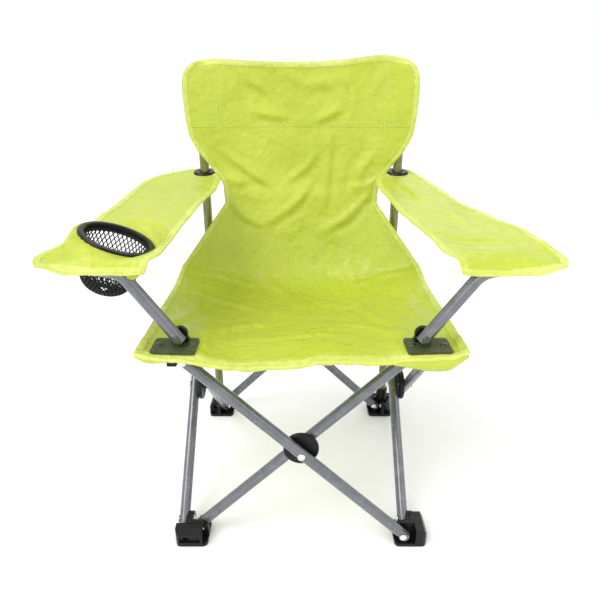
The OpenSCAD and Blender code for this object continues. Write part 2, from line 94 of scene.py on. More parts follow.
def through(points, x):
    """Smooth curve through (x, value) points, sorted by x."""
    xs = [p[0] for p in points]
    ys = [p[1] for p in points]
    if x <= xs[0]:
        return ys[0]
    if x >= xs[-1]:
        return ys[-1]
    i = max(k for k in range(len(xs) - 1) if xs[k] <= x)
    slopes = []
    for k in (i, i + 1):
        if k == 0 or k == len(xs) - 1:
            j = max(0, min(len(xs) - 2, k if k == 0 else k - 1))
            slopes.append((ys[j + 1] - ys[j]) / (xs[j + 1] - xs[j]))
        else:
            d0 = (ys[k] - ys[k - 1]) / (xs[k] - xs[k - 1])
            d1 = (ys[k + 1] - ys[k]) / (xs[k + 1] - xs[k])
            slopes.append(0.0 if d0 * d1 <= 0 else 2 * d0 * d1 / (d0 + d1))
    h = xs[i + 1] - xs[i]
    t = (x - xs[i]) / h
    return (ys[i] * (1 + 2 * t) * (1 - t) ** 2 + slopes[0] * h * t * (1 - t) ** 2
            + ys[i + 1] * t * t * (3 - 2 * t) + slopes[1] * h * t * t * (t - 1))


def ripple(x, y, z, size, seed=0.0):
    """Smooth noise from -1 to 1 with features of about that size."""
    return noise.noise(Vector((x / size + seed, y / size + seed * 0.37, z / size - seed * 0.61)))


def mesh(name, verts, faces, smooth=True, uvs=None):
    data = bpy.data.meshes.new(name)
    data.from_pydata([(v[0] * MM, v[1] * MM, v[2] * MM) for v in verts], [], faces)
    if smooth:
        data.polygons.foreach_set("use_smooth", [True] * len(data.polygons))
    if uvs is not None:
        layer = data.uv_layers.new(name="UVMap")
        flat = []
        for loop in data.loops:
            flat.extend(uvs[loop.vertex_index])
        layer.data.foreach_set("uv", flat)
    data.update()
    obj = bpy.data.objects.new(name, data)
    bpy.context.scene.collection.objects.link(obj)
    return obj


def grid_faces(rows, cols, start=0, closed=False):
    span = cols if closed else cols - 1
    return [(start + r * cols + c, start + r * cols + (c + 1) % cols,
             start + (r + 1) * cols + (c + 1) % cols, start + (r + 1) * cols + c)
            for r in range(rows - 1) for c in range(span)]


def apply_modifiers(obj):
    bpy.context.view_layer.update()
    ev = obj.evaluated_get(bpy.context.evaluated_depsgraph_get())
    data = bpy.data.meshes.new_from_object(ev)
    obj.modifiers.clear()
    obj.data = data


def thicken(obj, mm, offset=0.0):
    m = obj.modifiers.new("thick", "SOLIDIFY")
    m.thickness = mm * MM
    m.offset = offset
    m.use_even_offset = False
    return m


def two_sided(name, verts, normals, faces, uvs, half):
    """Closed sheet of cloth, half a thickness to each side, that keeps the given normals on both."""
    n = len(verts)
    both = [v + m * half for v, m in zip(verts, normals)] + [v - m * half for v, m in zip(verts, normals)]
    edges = {(a, b): True for f in faces for a, b in zip(f, f[1:] + f[:1])}
    rim = [(b, a, n + a, n + b) for a, b in edges if (b, a) not in edges]
    obj = mesh(name, both, faces + [tuple(n + i for i in reversed(f)) for f in faces] + rim, uvs=uvs + uvs)
    custom = list(normals) + [-m for m in normals]
    loops = []
    for p in obj.data.polygons:
        for v in p.vertices:
            loops.append(tuple(p.normal if p.index >= 2 * len(faces) else custom[v]))
    obj.data.normals_split_custom_set(loops)
    obj.data.materials.append(LIME)
    return obj


def pick_faces(name, src, wanted, half):
    """Two-sided copy of the faces of mesh src that pass wanted, with the whole mesh's normals."""
    picked = [p for p in src.polygons if wanted(p.center / MM)]
    layer = src.uv_layers["UVMap"].data
    at_uv = {src.loops[li].vertex_index: tuple(layer[li].uv) for p in picked for li in p.loop_indices}
    index, verts, normals, uvs = {}, [], [], []
    for p in picked:
        for v in p.vertices:
            if v not in index:
                index[v] = len(verts)
                verts.append(src.vertices[v].co / MM)
                normals.append(src.vertices[v].normal.copy())
                uvs.append(at_uv[v])
    faces = [tuple(index[v] for v in p.vertices) for p in picked]
    return two_sided(name, verts, normals, faces, uvs, half)


def tube(name, points, radius, sides=10, closed=False, flat=1.0):
    """Tube of round or flattened section along points, with a steady frame."""
    pts = [Vector(p) for p in points]
    n = len(pts)
    verts = []
    side = None
    for i, p in enumerate(pts):
        a = pts[(i - 1) % n] if closed or i > 0 else p
        b = pts[(i + 1) % n] if closed or i < n - 1 else p
        d = (b - a).normalized()
        if side is None:
            side = d.orthogonal().normalized()
        side = (side - d * side.dot(d)).normalized()
        other = d.cross(side)
        r = radius[i] if isinstance(radius, (list, tuple)) else radius
        for k in range(sides):
            q = 2 * math.pi * k / sides
            verts.append(p + side * math.cos(q) * r + other * math.sin(q) * r * flat)
    faces = grid_faces(n, sides, closed=True)
    if closed:
        faces += [((n - 1) * sides + k, (n - 1) * sides + (k + 1) % sides, (k + 1) % sides, k)
                  for k in range(sides)]
    else:
        faces.append(tuple(range(sides - 1, -1, -1)))
        faces.append(tuple((n - 1) * sides + k for k in range(sides)))
    return mesh(name, verts, faces)


# ---------- Materials ----------
def material(name, color, roughness, metallic=0.0, **sockets):
    m = bpy.data.materials.new(name)
    m.use_nodes = True
    m.diffuse_color = (*color, 1)
    b = m.node_tree.nodes["Principled BSDF"]
    b.inputs["Base Color"].default_value = (*color, 1)
    b.inputs["Roughness"].default_value = roughness
    b.inputs["Metallic"].default_value = metallic
    for key, value in sockets.items():
        b.inputs[key.replace("_", " ")].default_value = value
    return m


class Nodes:
    """Adds nodes to a material and links them."""

    def __init__(self, m):
        self.tree = m.node_tree
        self.shader = self.tree.nodes["Principled BSDF"]

    def add(self, kind, ins=None, **props):
        n = self.tree.nodes.new(kind)
        for k, v in props.items():
            setattr(n, k, v)
        for k, v in (ins or {}).items():
            if isinstance(v, bpy.types.NodeSocket):
                self.tree.links.new(v, n.inputs[k])
            else:
                n.inputs[k].default_value = v
        return n

    def link(self, a, b):
        self.tree.links.new(a, b)

    def noise(self, vector, scale, detail=3.0, rough=0.5):
        return self.add("ShaderNodeTexNoise", {"Vector": vector, "Scale": scale, "Detail": detail,
                                               "Roughness": rough}).outputs["Fac"]

    def ramp(self, value, stops):
        n = self.add("ShaderNodeValToRGB", {"Fac": value})
        els = n.color_ramp.elements
        while len(els) < len(stops):
            els.new(0.5)
        for e, (pos, col) in zip(els, stops):
            e.position = pos
            e.color = (*col, 1)
        return n.outputs["Color"]

    def math(self, op, a, b=None):
        ins = {0: a}
        if b is not None:
            ins[1] = b
        return self.add("ShaderNodeMath", ins, operation=op).outputs[0]

    def bump(self, height, strength, distance, normal=None):
        ins = {"Height": height, "Strength": strength, "Distance": distance}
        if normal is not None:
            ins["Normal"] = normal
        return self.add("ShaderNodeBump", ins).outputs["Normal"]


def nylon(name, dark, mid, light, crinkle=1.0):
    """Coated woven nylon: fine plain weave, soft creases and crumple marks, a little shade."""
    m = material(name, mid, 0.42, Sheen_Weight=0.05, Sheen_Roughness=0.4, Specular_IOR_Level=0.42)
    n = Nodes(m)
    at = n.add("ShaderNodeTexCoord")
    place, flat = at.outputs["Object"], at.outputs["UV"]
    warp = n.add("ShaderNodeTexWave", {"Vector": flat, "Scale": 620.0, "Distortion": 0.6, "Detail": 1.0},
                 bands_direction="X").outputs["Fac"]
    weft = n.add("ShaderNodeTexWave", {"Vector": flat, "Scale": 620.0, "Distortion": 0.6, "Detail": 1.0},
                 bands_direction="Y").outputs["Fac"]
    weave = n.math("MULTIPLY", warp, weft)
    patch = n.noise(place, 9.0, 2.0, 0.5)
    fine = n.noise(place, 150.0, 5.0, 0.65)
    tone = n.math("ADD", n.math("MULTIPLY", patch, 0.55), n.math("MULTIPLY", fine, 0.45))
    n.link(n.ramp(tone, [(0.32, dark), (0.5, mid), (0.70, light)]), n.shader.inputs["Base Color"])
    gloss = n.math("ADD", n.math("MULTIPLY", n.noise(place, 34.0, 3.0), 0.28), 0.22)
    n.link(gloss, n.shader.inputs["Roughness"])
    cracks = n.add("ShaderNodeTexVoronoi", {"Vector": place, "Scale": 42.0, "Randomness": 1.0},
                   feature="DISTANCE_TO_EDGE").outputs["Distance"]
    cracks = n.math("MINIMUM", cracks, 0.12)
    soft = n.noise(place, 24.0, 4.0, 0.6)
    # sharp crumple lines: a noise folded about its middle
    sharp = n.math("ABSOLUTE", n.math("SUBTRACT", n.noise(place, 17.0, 3.0, 0.55), 0.5))
    sharp = n.math("MINIMUM", sharp, 0.10)
    b1 = n.bump(soft, 0.75 * crinkle, 0.006)
    b2 = n.bump(sharp, 0.60 * crinkle, 0.010, b1)
    b3 = n.bump(cracks, 0.14 * crinkle, 0.003, b2)
    b4 = n.bump(weave, 0.10, 0.0004, b3)
    n.link(b4, n.shader.inputs["Normal"])
    return m


LIME = nylon("nylon_lime", (0.38, 0.465, 0.030), (0.44, 0.515, 0.040), (0.50, 0.565, 0.060))
# Hem nylon: a lighter lime than the sheet, with a light stop near white. This is painted highlight for the
# glints on the hems and the seat's front.
HEM_NYLON_PAINTED_GLINT = nylon("nylon_hem_painted_glint", (0.45, 0.52, 0.062), (0.54, 0.60, 0.105), (0.68, 0.73, 0.22), 1.5)


def thread_material():
    m = material("sewing_thread", (0.62, 0.78, 0.16), 0.55)
    n = Nodes(m)
    at = n.add("ShaderNodeTexCoord").outputs["Object"]
    n.link(n.ramp(n.noise(at, 400.0), [(0.35, (0.44, 0.60, 0.08)), (0.65, (0.78, 0.88, 0.36))]),
           n.shader.inputs["Base Color"])
    n.link(n.bump(n.noise(at, 1500.0), 0.4, 0.0002), n.shader.inputs["Normal"])
    return m


def painted_tube(name, dark, light):
    """Powder coat with a fine orange peel and faint handling marks."""
    m = material(name, dark, 0.26, 0.6, Coat_Weight=0.3, Coat_Roughness=0.10)
    n = Nodes(m)
    at = n.add("ShaderNodeTexCoord").outputs["Object"]
    tone = n.noise(at, 60.0, 5.0, 0.7)
    n.link(n.ramp(tone, [(0.3, dark), (0.7, light)]), n.shader.inputs["Base Color"])
    rough = n.math("ADD", n.math("MULTIPLY", n.noise(at, 120.0, 4.0), 0.20), 0.16)
    n.link(rough, n.shader.inputs["Roughness"])
    n.link(n.bump(n.noise(at, 900.0, 2.0), 0.05, 0.0002), n.shader.inputs["Normal"])
    return m


def moulded(name, color, rough, bump_size):
    """Moulded plastic with a fine surface and scuffs."""
    m = material(name, color, rough, Specular_IOR_Level=0.22)
    n = Nodes(m)
    at = n.add("ShaderNodeTexCoord").outputs["Object"]
    scuff = n.noise(at, 150.0, 6.0, 0.7)
    lighter = tuple(c * 1.7 + 0.002 for c in color)
    n.link(n.ramp(scuff, [(0.42, color), (0.78, lighter)]), n.shader.inputs["Base Color"])
    n.link(n.math("ADD", n.math("MULTIPLY", scuff, 0.22), rough - 0.09), n.shader.inputs["Roughness"])
    n.link(n.bump(n.noise(at, bump_size, 3.0), 0.10, 0.0004), n.shader.inputs["Normal"])
    return m


def bright_rivet():
    m = material("rivet_steel", (0.78, 0.78, 0.80), 0.22, 1.0)
    n = Nodes(m)
    at = n.add("ShaderNodeTexCoord").outputs["Object"]
    n.link(n.ramp(n.noise(at, 200.0), [(0.3, (0.62, 0.62, 0.64)), (0.7, (0.85, 0.85, 0.86))]),
           n.shader.inputs["Base Color"])
    n.link(n.math("ADD", n.math("MULTIPLY", n.noise(at, 300.0), 0.2), 0.12), n.shader.inputs["Roughness"])
    n.link(n.bump(n.noise(at, 700.0), 0.08, 0.0002), n.shader.inputs["Normal"])
    return m


THREAD = thread_material()
TUBE = painted_tube("silver_coat", (0.125, 0.13, 0.145), (0.19, 0.195, 0.215))
BLACK = moulded("black_moulding", (0.006, 0.006, 0.0065), 0.30, 380.0)
OLIVE = moulded("olive_plate", (0.050, 0.058, 0.026), 0.42, 520.0)
POST = painted_tube("olive_coat", (0.145, 0.155, 0.045), (0.215, 0.225, 0.075))
RIVET = bright_rivet()


def hub_rivet():
    """Bright leg rivets below, and painted ones in the clamp plates above, told apart by their height."""
    m = bright_rivet()
    m.name = "hub_rivet"
    n = Nodes(m)
    tree = m.node_tree
    at = tree.nodes["Texture Coordinate"].outputs["Object"]
    height = n.add("ShaderNodeSeparateXYZ", {"Vector": at}).outputs["Z"]
    high = n.math("GREATER_THAN", height, (CLOTH_Z - 2) * MM)
    steel = tree.nodes["Color Ramp"].outputs["Color"]
    mix = n.add("ShaderNodeMix", {"Factor": high}, data_type="RGBA")
    n.link(steel, mix.inputs[6])
    mix.inputs[7].default_value = (0.045, 0.052, 0.024, 1)
    n.link(mix.outputs[2], n.shader.inputs["Base Color"])
    n.link(n.math("SUBTRACT", 1.0, high), n.shader.inputs["Metallic"])
    return m


HUB_RIVET = hub_rivet()
NET = moulded("net_cord", (0.012, 0.012, 0.013), 0.5, 900.0)

FINISH = {"black_plastic": BLACK, "rivet": RIVET, "tube": TUBE, "clamp_plate": OLIVE, "cloth": LIME,
          "mesh": NET}
for part in frame["record"]["subparts"]:
    node = frame["nodes"][part["node"]]
    finish = FINISH[part["material_slot"]]
    if part["node"].startswith("back_post_") and "plug" not in part["node"]:
        finish = POST
    elif finish is RIVET and part["node"].startswith("seat_hub_"):
        finish = HUB_RIVET
    if not node.data.materials:
        node.data.materials.append(finish)
    for i in range(len(node.material_slots)):
        node.material_slots[i].material = finish


# ---------- The sheet: seat and back in one piece ----------
HEM_EDGE = [(-170, 277.5), (-155, 272.5), (-141, 271), (-120, 269), (-90, 263.5), (-64, 260.5), (-30, 261),
            (0, 263.5), (24, 267.5), (50, 267), (83, 267), (110, 270), (141, 272), (155, 273.5), (170, 280)]
BACK_W = [(362, 110), (388, 111.5), (404, 121), (418, 131), (437, 145), (461, 155.5), (488, 158),
          (514, 159), (530, 157.5), (540, 153), (547, 146), (551, 137)]
TOP_Z = [(-137, 550), (-110, 552.5), (-67, 550), (-1, 548.5), (49, 551), (110, 557), (137, 553)]


def hem_z(x, y):
    """Height of the front hem: its edge sags between the hubs, and the plates hold it level."""
    edge = through(HEM_EDGE, x)
    held = CLOTH_Z
    inner = 1 - bump((abs(x) - 96) / 14)
    back = lerp(held, edge + 1.5, inner)
    if abs(x) > 154:
        back = lerp(held, edge, bump((abs(x) - 154) / 16))
    return lerp(edge, back, bump((y + 168) / 12))


def fold_z(u):
    return LOW_Z + (CLOTH_Z + 1 - LOW_Z) * abs(u) ** DISH


def hem_row(y):
    """Point on the front hem at a distance y from the middle of the chair."""
    narrow = 0.988 if abs(y) < 160 else 0.986
    return lambda u: Vector((SEAT_W * u * narrow, y, hem_z(SEAT_W * u, y)))


def seat_row(v):
    """Point on the seat from the hem's back (v = 0) to the fold row (v = 1)."""
    def at(u):
        x = SEAT_W * u * (1 - 0.012 * (1 - v))
        y = lerp(-HEM_BACK, FOLD_Y, v)
        return Vector((x, y, lerp(hem_z(x, -HEM_BACK), fold_z(u), bump(v))))
    return at


def rear_row(t):
    """Point on the seat's rear from the fold row (t = 0) to the waist (t = 1)."""
    p = [Vector(q) for q in ((0, FOLD_Y, LOW_Z), (0, CORNER - 33, LOW_Z - 4), (0, BACK_Y - 6, CLOTH_Z + 3.3),
                             (0, BACK_Y, WAIST_Z))]
    mid = p[0] * (1 - t) ** 3 + p[1] * 3 * t * (1 - t) ** 2 + p[2] * 3 * t * t * (1 - t) + p[3] * t ** 3
    crease, when = Vector((SEAT_W - 2, CORNER - 63, CLOTH_Z + 12.3)), 0.34
    start, end = Vector((SEAT_W, FOLD_Y, fold_z(1))), Vector((WAIST_W, BACK_Y, WAIST_Z))
    edge = start.lerp(crease, t / when) if t < when else crease.lerp(end, (t - when) / (1 - when))

    def at(u):
        q = mid.lerp(edge, abs(u) ** DISH)
        return Vector((edge.x * u, q.y, q.z))
    return at


def back_row(t):
    """Point on the back from the waist (t = 0) to the top edge (t = 1)."""
    def at(u):
        z = lerp(WAIST_Z, 551, t)
        w = through(BACK_W, z)
        x = w * u
        if z > 500:
            z = lerp(500, through(TOP_Z, x), (z - 500) / 51)
        hollow = 9 * max(0.0, 1 - (x / 128) ** 2) * math.sin(math.pi * min(1, t * 0.93)) ** 0.8
        over = 7.0 * bump((z - POST_TOP - 4) / 7) * bump((abs(x) - 96) / 26)
        flare = 3.0 * bump((abs(x) - 132) / 26) * (1 - bump((z - 436) / 20))
        return Vector((x, BACK_Y + hollow * bump(t * 6) + over - flare, z))
    return at


def crease(a, b, points, depth, width):
    """Height at (a, b) of a fold along points. Its two sides are uneven, as a pulled crease's are."""
    best = 0.0
    total = len(points) - 1
    for i in range(total):
        ax, ay = points[i]
        bx, by = points[i + 1]
        dx, dy = bx - ax, by - ay
        size = math.hypot(dx, dy)
        t = ((a - ax) * dx + (b - ay) * dy) / size ** 2
        tc = min(1.0, max(0.0, t))
        off = ((a - ax) * dy - (b - ay) * dx) / size
        gap = math.hypot(a - ax - dx * tc, b - ay - dy * tc)
        if gap > width * 3.2:
            continue
        along = (i + tc) / total
        fade = math.sin(math.pi * (0.08 + 0.84 * along)) ** 0.8
        k = gap / width
        value = depth * fade * (math.exp(-k * k) - 0.45 * math.exp(-((off / width - 1.5) ** 2)))
        if abs(value) > abs(best):
            best = value
    return best


# Folds on the back, in (x, z), and on the seat, in (x, y)
BACK_FOLDS = [
    ([(-108, 372), (-84, 345), (-46, 323)], 3.4, 6), ([(-46, 334), (-10, 359), (14, 388)], 2.6, 6),
    ([(30, 320), (65, 340), (98, 374)], 3.6, 6), ([(-16, 395), (8, 412), (21, 431)], 2.2, 6),
    ([(32, 352), (38, 415), (40, 454)], 2.2, 7), ([(-108, 433), (-65, 401), (-44, 388)], 2.6, 7),
    ([(-134, 431), (-126, 410), (-116, 392)], 1.8, 5), ([(-66, 487), (-16, 478)], 2.4, 6),
    ([(20, 474), (38, 482), (55, 491)], 2.6, 6), ([(103, 534), (98, 508)], 1.8, 5),
    ([(-78, 536), (-42, 510)], 2.0, 8), ([(60, 540), (72, 505), (66, 476)], 1.5, 8),
    ([(108, 440), (84, 408), (78, 380)], 2.0, 8), ([(-30, 540), (10, 520), (60, 528)], 1.4, 9),
    ([(112, 400), (96, 388), (70, 384)], 1.8, 6), ([(-110, 398), (-92, 392), (-70, 396)], 1.8, 6)]
SEAT_FOLDS = [
    ([(-165, 72), (-120, 80), (-60, 74)], 2.2, 6), ([(165, 70), (120, 80), (70, 72)], 1.8, 6),
    ([(-60, 96), (-20, 60)], 1.6, 9), ([(79, -3), (92, -58)], 2.0, 6),
    ([(-144, 31), (-90, 8), (-53, -3)], 1.8, 7),
    ([(-120, -120), (-70, -70), (-20, -50)], 1.9, 9), ([(118, -122), (80, -84), (40, -62)], 1.9, 9),
    ([(-60, -112), (0, -104), (50, -110)], 1.6, 6), ([(-30, -86), (20, -94), (60, -84)], 1.3, 5),
    ([(-150, -100), (-130, -40), (-136, 20)], 1.4, 8), ([(150, -100), (136, -40), (140, 20)], 1.4, 8),
    ([(20, 40), (60, 10), (90, 30)], 1.3, 9)]


def sheet_offset(p, on_back):
    """How far the cloth stands off its smooth shape at p."""
    x, y, z = p
    near_back = bump((z - 300) / 40) if y > 60 else 0.0
    h = 0.0
    if near_back > 0:
        h += near_back * sum(crease(x, z, f, d * 1.6, w * 0.85) for f, d, w in BACK_FOLDS)
    if near_back < 1:
        h += (1 - near_back) * sum(crease(x, y, f, d * 1.5, w * 0.85) for f, d, w in SEAT_FOLDS)
    h += 1.5 * ripple(x, y, z, 62, 3.1) + 0.95 * ripple(x, y, z, 27, 8.7)
    h += 0.9 * (0.5 - abs(ripple(x, y, z, 24, 5.3))) + 0.3 * ripple(x, y, z, 9, 2.3)
    if on_back and z > 440:
        h *= lerp(1.0, 0.25, bump((abs(x) - 112) / 14))
    held = bump(math.hypot(max(0, abs(abs(x) - PLATE_X) - 25), max(0, abs(y + 147) - 18)) / 22)
    return h * held


def build_rows():
    """Rows of the sheet from its front edge to its top, with the name of the part each belongs to."""
    rows = []
    for k in range(8):
        rows.append((hem_row(lerp(-168, -HEM_BACK, k / 8)), "hem"))
    for k in range(40):
        rows.append((seat_row(k / 40), "front"))
    for k in range(42):
        rows.append((rear_row(k / 42), "rear"))
    for k in range(51):
        rows.append((back_row(k / 50), "back"))
    return rows


COLS = 97
rows = build_rows()
points, uvs, region = [], [], []
length = 0.0
last = None
for r, (at, name) in enumerate(rows):
    centre = at(0.0)
    if last is not None:
        length += (centre - last).length
    last = centre
    for c in range(COLS):
        u = 2 * c / (COLS - 1) - 1
        p = at(u)
        points.append(p)
        uvs.append((0.5 + p.x * MM, length * MM))
    region.append(name)

grid = np.array([[p.x, p.y, p.z] for p in points]).reshape(len(rows), COLS, 3)
du = np.gradient(grid, axis=1)
dv = np.gradient(grid, axis=0)
normal = np.cross(du, dv)
normal /= np.linalg.norm(normal, axis=2, keepdims=True)
for r in range(len(rows)):
    for c in range(COLS):
        p = grid[r, c]
        edge = bump((1 - abs(2 * c / (COLS - 1) - 1)) * 12)
        h = sheet_offset(p, region[r] == "back") * (0.35 + 0.65 * edge)
        if r < 3:
            h *= 0.3
        grid[r, c] = p + normal[r, c] * h
sheet_points = [Vector(p) for p in grid.reshape(-1, 3)]
sheet = mesh("sheet_whole", sheet_points, grid_faces(len(rows), COLS), uvs=uvs)


def cut_plane(obj, point, direction, keep_all=lambda f: True):
    """Cuts the faces of obj that pass keep_all along a plane, in millimetres."""
    bm = bmesh.new()
    bm.from_mesh(obj.data)
    faces = [f for f in bm.faces if keep_all(f.calc_center_median() / MM)]
    geom = list({v for f in faces for v in f.verts}) + list({e for f in faces for e in f.edges}) + faces
    bmesh.ops.bisect_plane(bm, geom=geom, dist=1e-7, plane_co=Vector(point) * MM, plane_no=Vector(direction))
    bm.to_mesh(obj.data)
    bm.free()


for side in (-1, 1):
    cut_plane(sheet, (side * SLEEVE_X, 0, 0), (1, 0, 0), lambda c: c.y > 100 and c.z > WAIST_Z)

sheet.data.polygons.foreach_set("use_smooth", [True] * len(sheet.data.polygons))
sheet.data.update()


def part_of(c):
    """Name of the visible piece that a face centre, in millimetres, belongs to."""
    if c.y < -HEM_BACK:
        return "hem"
    if c.y > 100 and c.z > WAIST_Z:
        if abs(c.x) > SLEEVE_X:
            return "sleeve_left" if c.x < 0 else "sleeve_right"
        return "back"
    return "front" if c.y < FOLD_Y else "rear"


def split_piece(name, part):
    """One part of the whole sheet, with the whole's normals, so no seam shows between parts."""
    return pick_faces(name, sheet.data, lambda c: part_of(c) == part, 0.45)


pieces = {
    "hem": split_piece("seat_cloth_front_edge", "hem"),
    "front": split_piece("seat_cloth_front", "front"),
    "rear": split_piece("seat_cloth_rear", "rear"),
    "back": split_piece("back_panel", "back"),
    "sleeve_left": split_piece("sleeve_front_left", "sleeve_left"),
    "sleeve_right": split_piece("sleeve_front_right", "sleeve_right"),
}
RIDES = {"hem": "seat_hub_left", "front": "seat_front_cloth", "rear": "seat_rear_cloth",
         "back": "back_post_left", "sleeve_left": "back_post_left", "sleeve_right": "back_post_right"}
STANDS = {"hem": ["seat_front_hem"], "front": ["seat_front_cloth"], "rear": ["seat_rear_cloth"],
          "back": ["back_cloth"], "sleeve_left": ["back_sleeve_left"], "sleeve_right": ["back_sleeve_right"]}
trims = {k: [] for k in pieces}


# ---------- Hems, seams and stitches on the sheet ----------
def surface(r, u):
    """Point and normal on the finished sheet at a row number and a place across, both fractional."""
    c = (u + 1) / 2 * (COLS - 1)
    r = min(len(rows) - 1.0001, max(0.0, r))
    c = min(COLS - 1.0001, max(0.0, c))
    r0, c0 = int(r), int(c)
    fr, fc = r - r0, c - c0
    p = ((grid[r0, c0] * (1 - fc) + grid[r0, c0 + 1] * fc) * (1 - fr)
         + (grid[r0 + 1, c0] * (1 - fc) + grid[r0 + 1, c0 + 1] * fc) * fr)
    m = ((normal[r0, c0] * (1 - fc) + normal[r0, c0 + 1] * fc) * (1 - fr)
         + (normal[r0 + 1, c0] * (1 - fc) + normal[r0 + 1, c0 + 1] * fc) * fr)
    return Vector(p), Vector(m).normalized()


def inset_u(r, side, mm):
    """Place across that lies mm inside the sheet's edge at row r."""
    p, _ = surface(r, side)
    q, _ = surface(r, side * 0.9)
    return side * (1 - 0.1 * mm / max(1e-6, (p - q).length))


ROW = {"hem": 0, "front": 8, "rear": 48, "back": 90}
END = len(rows) - 1


def pair_runs(pairs, key, share=False):
    """Runs of pairs that key gives the same name. A shared pair ends one run and starts the next."""
    runs = []
    for pair in pairs:
        name = key(pair)
        if not runs or runs[-1][0] != name:
            if share and runs:
                runs[-1][1].append(pair)
            runs.append((name, []))
        runs[-1][1].append(pair)
    return runs


def by_part(path):
    """Runs of a path of (point, normal), so that each rides with its own piece."""
    return [(name, run) for name, run in pair_runs(path, lambda q: part_of(q[0])) if len(run) > 1]


def dense(path, step):
    """Points every step along a path of (point, normal)."""
    out, carry = [path[0]], 0.0
    for (a, na), (b, nb) in zip(path, path[1:]):
        size = (b - a).length
        at = step - carry
        while at < size:
            t = at / size
            out.append((a.lerp(b, t), na.lerp(nb, t).normalized()))
            at += step
        carry = size - (at - step)
    return out


def stitches(name, path, pitch=3.4, size=2.3, lift=0.55):
    """Row of thread stitches lying on the cloth."""
    spots = dense(path, pitch)
    verts, faces = [], []
    for i, (p, m) in enumerate(spots[:-1]):
        d = (spots[i + 1][0] - p)
        if d.length < 0.5:
            continue
        d.normalize()
        s = m.cross(d).normalized()
        base = len(verts)
        for k, (along, high, wide) in enumerate(((-0.5, -0.5, 0.22), (-0.3, 0.25, 0.34), (0, 0.42, 0.38),
                                                 (0.3, 0.25, 0.34), (0.5, -0.5, 0.22))):
            c = p + d * along * size + m * (lift + high * 0.7)
            verts += [c - s * wide, c + m * wide * 0.8, c + s * wide]
            if k:
                b = base + (k - 1) * 3
                faces += [(b, b + 1, b + 4, b + 3), (b + 1, b + 2, b + 5, b + 4)]
    if not faces:
        return None
    obj = mesh(name, verts, faces)
    obj.data.materials.append(THREAD)
    return obj


def band(name, path_a, path_b, lift, crown=0.5, mat=None, wave=0.0):
    """Sewn tape between two paths of (point, normal), slightly raised in its middle."""
    count = min(len(path_a), len(path_b))
    verts, across = [], 7
    puv = []
    run = 0.0
    for i in range(count):
        (a, na), (b, nb) = path_a[i], path_b[i]
        if i:
            run += (a - path_a[i - 1][0]).length
        for k in range(across):
            t = k / (across - 1)
            m = na.lerp(nb, t).normalized()
            h = lift + crown * (1 - (2 * t - 1) ** 4) + wave * ripple(a.x, a.y, a.z, 7, t)
            verts.append(a.lerp(b, t) + m * (h if 0 < k < across - 1 else lift - 0.5))
            puv.append((t * (a - b).length * MM, run * MM))
    obj = mesh(name, verts, grid_faces(count, across), uvs=puv)
    # Tapes default to the lighter hem nylon, whose colour carries painted highlight.
    obj.data.materials.append(mat or HEM_NYLON_PAINTED_GLINT)
    return obj


def add_trim(kind, runs, make):
    for i, (name, run) in enumerate(runs):
        obj = make(f"{kind}_{name}_{i}", run)
        if obj is not None:
            trims[name].append(obj)


for side in (-1, 1):
    tag = "left" if side < 0 else "right"
    rr = [k * 0.5 for k in range(0, 2 * END - 1)]
    edge = [surface(r, side) for r in rr]
    inner = [surface(r, inset_u(r, side, 7.5)) for r in rr]
    # the folded side hem, cut at the same places as the sheet
    runs = pair_runs(zip(edge, inner), lambda q: part_of(q[1][0]), share=True)
    for i, (name, run) in enumerate(runs):
        if len(run) > 2:
            trims[name].append(band(f"side_hem_{tag}_{name}_{i}", [a for a, _ in run], [b for _, b in run],
                                    0.5, 0.7, wave=0.35))
    line = [surface(r, inset_u(r, side, 6.0)) for r in rr]
    add_trim(f"side_stitch_{tag}", by_part(line), lambda n, run: stitches(n, run, lift=1.25))

# front hem: a rolled edge, a wide tuck line behind it and stitches
front = [surface(0.0, u / 60) for u in range(-60, 61)]
front_in = [surface(2.3, u / 60) for u in range(-60, 61)]
trims["hem"].append(band("front_hem", front, front_in, 0.45, 1.0, wave=0.6))
roll_r = [2.5 + 0.9 * ripple(p.x, 0, 0, 13, 4.2) + 0.5 * ripple(p.x, 0, 0, 5, 1.2) for p, _ in front]
roll_at = [p - m * (0.8 + 0.8 * ripple(p.x, 0, 0, 17, 7.7)) + Vector((0, -0.2, 0)) for p, m in front]
roll = tube("front_hem_roll", roll_at, roll_r, 12)
# The rolled front edge takes the hem nylon with its painted highlight.
roll.data.materials.append(HEM_NYLON_PAINTED_GLINT)
trims["hem"].append(roll)
trims["hem"].append(stitches("front_hem_stitch", [surface(1.9, u / 60) for u in range(-60, 61)], lift=1.35))
add_trim("front_tuck", by_part([surface(9.6, u / 60) for u in range(-59, 60)]),
         lambda n, run: stitches(n, run, pitch=3.0, lift=0.6))

# seams across: the crease seam, the band on the back and the sleeves' seams
for label, row_at, wide in (("crease", ROW["rear"] + 15.0, 1.6), ("band", ROW["back"] + 27.6, 1.8)):
    low = [surface(row_at, u / 60) for u in range(-58, 59)]
    high = [surface(row_at + 0.75, u / 60) for u in range(-58, 59)]
    for i, (name, run) in enumerate(pair_runs(zip(low, high), lambda q: part_of(q[0][0]))):
        if len(run) > 2:
            trims[name].append(band(f"{label}_seam_{name}_{i}", [a for a, _ in run], [b for _, b in run],
                                    0.35, 0.45, mat=LIME))
    add_trim(f"{label}_stitch", by_part([surface(row_at + 1.6, u / 60) for u in range(-58, 59)]),
             lambda n, run: stitches(n, run, lift=0.6))


def column(x, low, high):
    """Path up the back at a fixed distance from the middle."""
    out = []
    for k in range(60):
        z = lerp(low, high, k / 59)
        t = (z - WAIST_Z) / (551 - WAIST_Z)
        w = through(BACK_W, z)
        out.append(surface(ROW["back"] + t * 50, max(-0.98, min(0.98, x / w))))
    return out


for side in (-1, 1):
    for n, x in enumerate((109.5, 115.0)):
        path = column(side * x, 466, 549)
        add_trim(f"sleeve_seam_{'left' if side < 0 else 'right'}_{n}", by_part(path),
                 lambda name, run: stitches(name, run, lift=0.6))

